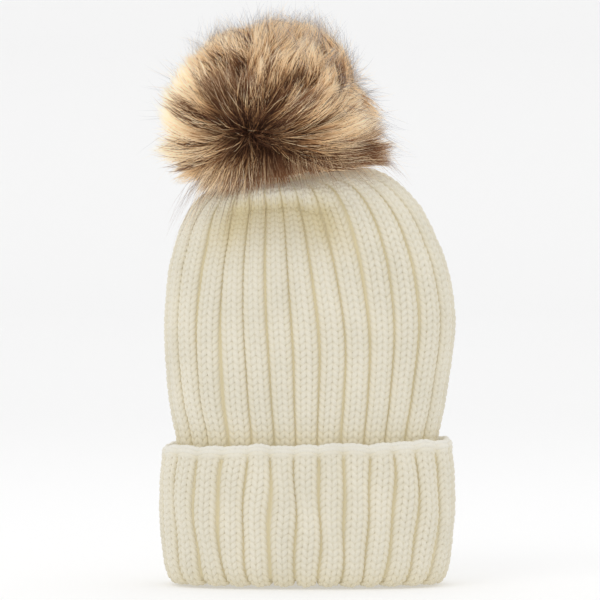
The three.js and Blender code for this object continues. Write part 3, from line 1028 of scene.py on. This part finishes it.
# ---- Turned pieces on the stud's axis ----
# A turned piece keeps a pinhole of this radius along its axis, so that its faces stay quads.
AXIS_PIN = 0.02
TURNED_SEGMENTS = 72
CORNER_STEPS = 4
BALL_STEPS = 24
PLEATS = 22
STUFFING_GRAIN = 0.004
STUFFING_SWELL = 0.003
STUFFING_PRESSURE = 4
STUFFING_FRAMES = 20


def rounded(profile, radius):
    """A closed outline of radius and height pairs with its corners rounded off."""
    points = np.array(profile, dtype=float)
    result = []
    for before, here, after in zip(np.roll(points, 1, axis=0), points, np.roll(points, -1, axis=0)):
        if here[0] <= AXIS_PIN:
            result.append(here)
            continue
        start = here + (before - here) * min(0.45, radius / np.linalg.norm(before - here))
        end = here + (after - here) * min(0.45, radius / np.linalg.norm(after - here))
        for t in np.linspace(0, 1, CORNER_STEPS):
            result.append((1 - t) ** 2 * start + 2 * t * (1 - t) * here + t * t * end)
    return np.array(result)


def solid_on_axis(name, points, *finish):
    """A piece from a closed grid of points on the stud's axis; finish is what finish_piece takes."""
    faces = grid_faces(*points.shape[:2], True, True)
    piece = make_mesh(name, from_axis(points.reshape(-1, 3)), faces, {"OFBake": grid_uv(*points.shape[:2])})
    finish_piece(piece, *finish)
    return piece


def turned(name, profile, radius, *finish):
    """A smooth solid of revolution, from a closed anticlockwise outline with corners of the radius."""
    outline = rounded([(max(across, AXIS_PIN), height) for across, height in profile], radius)
    turn = np.arange(TURNED_SEGMENTS) / TURNED_SEGMENTS * TAU
    return solid_on_axis(name, round_axis(outline[:, :1], turn, outline[:, 1:]), *finish)


def brushed_metal(name, colour, roughness):
    """Plated metal, faintly mottled and dulled."""
    shader = Shader(name, Metallic=1.0, Roughness=roughness)
    duller = tuple(0.86 * channel for channel in colour)
    shader.colour(shader.ramp(shader.noise(260, 4), [(0.3, duller), (0.7, colour)]))
    stops = [(0.35, (roughness * 0.8,) * 3), (0.75, (roughness * 1.5,) * 3)]
    shader.set(shader.principled, Roughness=shader.ramp(shader.noise(900, 3), stops))
    shader.bump(shader.noise(2200, 2), 0.08, 0.0001)
    return shader.material


def felt_shader(name, light, dark):
    """Matted fibres, uneven and dull."""
    shader = Shader(name, Roughness=1.0, Specular_IOR_Level=0.1, Sheen_Weight=0.4, Sheen_Roughness=0.6)
    shader.colour(shader.ramp(shader.noise(420, 6), [(0.35, dark), (0.65, light)]))
    shader.bump(shader.noise(1500, 6), 0.6, 0.0006)
    return shader.material


def thread_shader(name, light, dark):
    """Thread of darker and lighter fibres."""
    shader = Shader(name, Roughness=0.75, Specular_IOR_Level=0.3, Sheen_Weight=0.2)
    shader.colour(shader.ramp(shader.noise(1400, 3), [(0.3, dark), (0.7, light)]))
    shader.bump(shader.noise(3000, 3), 0.4, 0.0003)
    return shader.material


nickel = brushed_metal("nickel", (0.62, 0.61, 0.59), 0.24)
spring_steel = brushed_metal("spring steel", (0.72, 0.72, 0.73), 0.18)
cream_felt = felt_shader("cream felt", (0.74, 0.68, 0.55), (0.60, 0.53, 0.40))
brown_thread = thread_shader("brown thread", (0.16, 0.09, 0.05), (0.07, 0.038, 0.02))
cream_thread = yarn_shader("cream plied yarn", (0.88, 0.82, 0.68), (0.62, 0.53, 0.36))
stuffing_wool = felt_shader("white stuffing", (0.9, 0.9, 0.88), (0.74, 0.74, 0.72))
backing_cloth = felt_shader("fur backing", (0.10, 0.06, 0.04), (0.045, 0.026, 0.017))

CAP_RADIUS = 7.5
POST_RADIUS = 1
CAP_TOP = -7.5
WASHER_BOTTOM = -7.2
WASHER_TOP = -6
BASE_DISC_BOTTOM = 7.4
BASE_DISC_TOP = 9

turned("press_stud_cap", [
    (0, CAP_TOP - 1.9), (3.2, CAP_TOP - 1.8), (6.2, CAP_TOP - 1.4), (7.3, CAP_TOP - 0.9),
    (CAP_RADIUS, CAP_TOP - 0.4), (CAP_RADIUS, CAP_TOP), (POST_RADIUS, CAP_TOP), (POST_RADIUS, 2.7), (0, 3),
], 0.3, nickel, HAT, "snap_nickel", "snap_cap")
turned("press_stud_washer", [
    (2, WASHER_BOTTOM), (8.5, WASHER_BOTTOM), (8.5, WASHER_TOP), (2, WASHER_TOP),
], 0.35, cream_felt, HAT, "cream_felt", "snap_washer")
turned("press_stud_head", [
    (0, 3.5), (1.35, 3.3), (1.35, 0.5), (6.3, 0.5), (6.3, 1.1), (5.9, 1.4), (4.6, 1.35), (3.4, 1.5),
    (2.3, 1.6), (2.3, 2.5), (2.9, 3.3), (2.9, 3.9), (2.1, 4.6), (0, 4.7),
], 0.25, nickel, HAT, "snap_nickel", "snap_stud")
turned("press_stud_socket", [
    (0, 5.1), (3.3, 5.1), (3.3, 3.45), (4.6, 3.45), (4.6, 2.1), (3.3, 2.1), (3.3, 1.75), (6.5, 1.75),
    (7, 2.2), (7, 5.4), (6, 7), (1.4, 7), (1.4, 5.75), (0, 5.75),
], 0.22, nickel, POM, "snap_nickel", "snap_socket")
turned("pom_base", [
    (1.5, BASE_DISC_BOTTOM), (15, BASE_DISC_BOTTOM), (15, BASE_DISC_TOP), (1.5, BASE_DISC_TOP),
], 0.5, cream_felt, POM, "cream_felt", "pom_base_disc")
turned("socket_back_cap", [
    (0, 6.1), (POST_RADIUS, 6.1), (POST_RADIUS, BASE_DISC_TOP + 0.4), (CAP_RADIUS - 1, BASE_DISC_TOP + 0.4),
    (CAP_RADIUS - 1, BASE_DISC_TOP + 1), (CAP_RADIUS - 2.5, BASE_DISC_TOP + 1.8), (0, BASE_DISC_TOP + 2),
], 0.3, nickel, POM, "snap_nickel", "socket_cap")


def ball_profile(size, bottom_radius):
    """Radius and height up the side of an upright ellipsoid on the pom's centre."""
    start = -math.acos(bottom_radius / size[0])
    angle = np.linspace(start, math.pi / 2, BALL_STEPS + 1)
    return list(zip(size[0] * np.cos(angle), POM_CENTRE[2] + size[2] * np.sin(angle)))


backing_outside = [
    (13.9, 6.2), (15.6, 6.3), (16.9, 7.4), (17.3, 9.5), (17.8, 13), (19.5, 19),
    *ball_profile(BACKING_SIZE, 25),
]
backing_inside = [
    (13.9, 7.0), (15.2, 7.1), (16.0, 8.0), (16.4, 10), (17.0, 13.5), (18.7, 19.7),
    *ball_profile(BACKING_SIZE - BACKING_THICKNESS, 24.4),
]


def gathered_backing():
    """The fur's cloth backing: a ball whose edge is gathered in pleats under the pom."""
    outline = rounded([*backing_outside, *backing_inside[::-1]], 0.1)
    segments = PLEATS * 10
    turn = np.arange(segments) / segments * TAU
    height = outline[:, 1:]
    depth = 0.9 * smooth_step(height, 6.4, 15) * (1 - smooth_step(height, 19, 30))
    pleat = depth * (np.cos(PLEATS * turn) + 0.35 * np.sin(7 * turn + 1))
    points = round_axis(outline[:, :1] + pleat, turn, height)
    piece = solid_on_axis("pom_backing", points, backing_cloth, POM, "brown_fur", "pom_fur")


def bake(piece):
    """Turns what the piece's modifiers make of it into its own mesh."""
    mesh = bpy.data.meshes.new_from_object(piece.evaluated_get(bpy.context.evaluated_depsgraph_get()))
    piece.modifiers.clear()
    piece.data = mesh


def points_of(mesh):
    points = np.empty(len(mesh.vertices) * 3)
    mesh.vertices.foreach_get("co", points)
    return points.reshape(-1, 3)


def stuff(piece):
    """Lets the ball swell as stuffing does when it is pushed into its cover, then gives it soft tufts."""
    remesh = piece.modifiers.new("remesh", "REMESH")
    remesh.mode = "VOXEL"
    remesh.voxel_size = STUFFING_GRAIN
    bake(piece)
    start = points_of(piece.data)
    cloth = piece.modifiers.new("swelling", "CLOTH").settings
    cloth.use_pressure = True
    cloth.uniform_pressure_force = STUFFING_PRESSURE
    cloth.effector_weights.gravity = 0
    for frame_number in range(1, STUFFING_FRAMES + 1):
        bpy.context.scene.frame_set(frame_number)
    swollen = points_of(piece.evaluated_get(bpy.context.evaluated_depsgraph_get()).data)
    piece.modifiers.clear()
    bpy.context.scene.frame_set(1)
    move = swollen - start
    far = np.linalg.norm(move, axis=1)[:, None]
    swollen = start + move * np.minimum(1, STUFFING_SWELL / np.maximum(far, 1e-9))
    points = to_axis(swollen / MM) - POM_CENTRE
    tuft = np.sin(points[:, 0] / 3.1) * np.sin(points[:, 1] / 2.7 + 1) * np.sin(points[:, 2] / 2.9 + 2)
    reach = np.linalg.norm(points / FILL_SIZE, axis=1)
    points *= (np.minimum(reach, 1) / reach * (0.985 + 0.015 * tuft))[:, None]
    points[:, 2] = np.maximum(points[:, 2], FILL_BOTTOM - POM_CENTRE[2])
    piece.data.vertices.foreach_set("co", from_axis(points + POM_CENTRE).ravel())
    piece.modifiers.new("subdivision", "SUBSURF").levels = 1
    bake(piece)
    piece.data.shade_smooth()


stuffing = turned("pom_stuffing", [
    (0, FILL_BOTTOM), (POM_OPENING_RADIUS - 1.5, FILL_BOTTOM),
    *ball_profile(FILL_SIZE - 2, POM_OPENING_RADIUS - 1),
], 1.0, stuffing_wool, POM, "white_stuffing", "pom_fill")
stuff(stuffing)
gathered_backing()


# ---- Rings of yarn and thread ----
PLY_STEPS = 14
PLY_PACKING = 0.85


def plied_ring(name, ring_radius, height, ply_radius, twists, unevenness, *finish):
    """A closed ring of two plies twisted together, round the stud's axis."""
    turn = np.arange(twists * PLY_STEPS) / (twists * PLY_STEPS) * TAU
    centres = []
    for start in (0, math.pi):
        twist = twists * turn + start
        uneven = unevenness * np.sin(RIBS / 2 * turn)
        radius = ring_radius + ply_radius * PLY_PACKING * np.cos(twist) + uneven
        centres.append(round_axis(radius, turn, height + ply_radius * PLY_PACKING * np.sin(twist)))
    centre = from_axis(np.array(centres)) / MM
    normal = np.array([round_axis(1, turn, 0)] * len(centres)) @ AXIS_TURN.T
    radius = np.full(centre.shape[:2], ply_radius)
    ring = closed_tubes(name, centre, normal, radius, np.full(centre.shape[:2], 0.25))
    finish_piece(ring, *finish)


plied_ring("gathering_yarn", 9.6, 1.95, 0.62, 26, 0.25, cream_thread, HAT, "cream_yarn", "gather_yarn")
plied_ring("gathering_thread", 13, 6.4, 0.34, 48, 0.12, brown_thread, POM, "brown_thread", "pom_drawstring")

SPRING_RADIUS = 3.75
SPRING_HEIGHT = 2.75
SPRING_GAP = 0.7
WIRE_RADIUS = 0.35
WIRE_SIDES = 14


def spring_ring():
    """The split wire ring in the socket, bent inwards a little at both ends."""
    turn = np.linspace(SPRING_GAP / 2, TAU - SPRING_GAP / 2, TURNED_SEGMENTS + 1)
    radius = SPRING_RADIUS - 0.12 * (bell(turn, turn[0], 0.12) + bell(turn, turn[-1], 0.12))
    path = round_axis(radius, turn, SPRING_HEIGHT)[:, None]
    up = np.array([0.0, 0.0, 1.0])
    side = unit(np.cross(np.gradient(path, axis=0), up))
    angle = (np.arange(WIRE_SIDES) / WIRE_SIDES * TAU)[:, None]
    wire = path + WIRE_RADIUS * (side * np.cos(angle) + up * np.sin(angle))
    ends = np.repeat(path[[0, -1]], WIRE_SIDES, axis=1)
    points = np.concatenate([ends[:1], wire, ends[1:]])
    faces = grid_faces(*points.shape[:2], False, True)[:, ::-1]
    uv = grid_uv(*points.shape[:2])[:len(faces)]
    piece = make_mesh("socket_ring", from_axis(points.reshape(-1, 3)), faces, {"OFBake": uv})
    finish_piece(piece, spring_steel, SPRING, "spring_steel", "socket_spring")


spring_ring()


# ---- Back seam and label ----
SEAM_SHARE = 0.25
SEAM_DEPTH = 4.4
SEAM_FIRST_ROW = 2
SEAM_ENDS_BELOW_TOP = 12
SEAM_STEPS_PER_ROW = 8
SEAM_YARN_RADIUS = 0.85


def back_seam():
    """The ridge of linked stitches inside the back: one yarn up it and one down it, crossing."""
    last = crown_yarn.rows - SEAM_ENDS_BELOW_TOP
    rows = np.linspace(SEAM_FIRST_ROW, last, int((last - SEAM_FIRST_ROW) * SEAM_STEPS_PER_ROW))
    across = 1.5 * np.sin(rows * TAU / 2)
    deep = 0.55 * np.cos(rows * TAU)
    up_centre, normal = crown_yarn.at(rows, np.full(len(rows), SEAM_SHARE))
    sideways = np.array([1.0, 0.0, 0.0])
    going_up = up_centre - normal * (SEAM_DEPTH + deep)[:, None] + sideways * across[:, None]
    going_down = up_centre - normal * (SEAM_DEPTH - deep)[:, None] - sideways * across[:, None]
    path = np.concatenate([going_up, going_down[::-1]])[None]
    normals = np.concatenate([normal, normal[::-1]])[None]
    radius = np.full(path.shape[:2], SEAM_YARN_RADIUS)
    seam = closed_tubes("back_seam_stitches", path, normals, radius, np.full(path.shape[:2], 0.3))
    finish_piece(seam, cream_thread, HAT, "cream_yarn", "back_seam")


back_seam()

LABEL_SIZE = (28, 42)
LABEL_PLACE = (3.2, 33.9, 40)
LABEL_LEAF_GAP = 0.45
LABEL_THICKNESS = 0.22


def satin_shader():
    """White satin ribbon: fine weave lines along it and a soft sheen."""
    shader = Shader("label satin", Roughness=0.38, Specular_IOR_Level=0.5, Sheen_Weight=0.3)
    weave = shader.bands("Z", 900, 0.6, shader.place())
    shader.colour(shader.ramp(weave, [(0.2, (0.82, 0.81, 0.77)), (0.8, (0.92, 0.91, 0.88))]))
    shader.bump(weave, 0.25, 0.0001)
    return shader.material


def care_label():
    """A ribbon folded in two, its cut ends in the seam and its fold free. It carries no text."""
    width, height = LABEL_SIZE
    bend = np.linspace(-math.pi / 2, math.pi / 2, 9)
    along = np.linspace(0, width, 24)
    apart = LABEL_LEAF_GAP / 2
    front = np.stack([along, 0 * along - apart], axis=1)
    back = np.stack([along[::-1], 0 * along + apart], axis=1)
    fold = np.stack([width + apart * np.cos(bend), apart * np.sin(bend)], axis=1)
    path = np.concatenate([front, fold[1:-1], back])
    way = unit(np.gradient(path, axis=0))
    across = np.stack([way[:, 1], -way[:, 0]], axis=1) * LABEL_THICKNESS / 2
    outline = np.concatenate([path + across, (path - across)[::-1]])
    levels = np.linspace(0, height, 22)
    points = np.empty((len(levels), len(outline), 3))
    for level, up in enumerate(levels):
        curl = 1.1 * (outline[:, 0] / width) ** 2 * math.sin(up / height * math.pi * 0.8 + 0.4)
        points[level, :, 0] = LABEL_PLACE[0] + outline[:, 0]
        points[level, :, 1] = LABEL_PLACE[1] + outline[:, 1] - curl
        points[level, :, 2] = LABEL_PLACE[2] + up
    count = len(outline)
    side_faces = grid_faces(len(levels), count, False, True)
    half = np.arange(len(path) - 1)
    bottom = np.stack([half, half + 1, count - 2 - half, count - 1 - half], axis=1)
    top = bottom[:, ::-1] + (len(levels) - 1) * count
    faces = np.concatenate([side_faces, bottom[:, ::-1], top[:, ::-1]])
    label = make_mesh("folded_label", points.reshape(-1, 3) * MM, faces)
    finish_piece(label, satin_shader(), HAT, "label_satin", "care_label")


care_label()

# ---- Stage ----
add_floor()

add_area_light("key light", (-1.1, -1.7, 1.9), 9)
add_area_light("top light", (0.2, 0.2, 2.2), 4)

world = bpy.data.worlds.new("studio")
world.use_nodes = True
world.node_tree.nodes["Background"].inputs["Color"].default_value = (1, 1, 1, 1)
world.node_tree.nodes["Background"].inputs["Strength"].default_value = SKY_STRENGTH
bpy.context.scene.world = world
bpy.context.scene.view_settings.view_transform = "Standard"
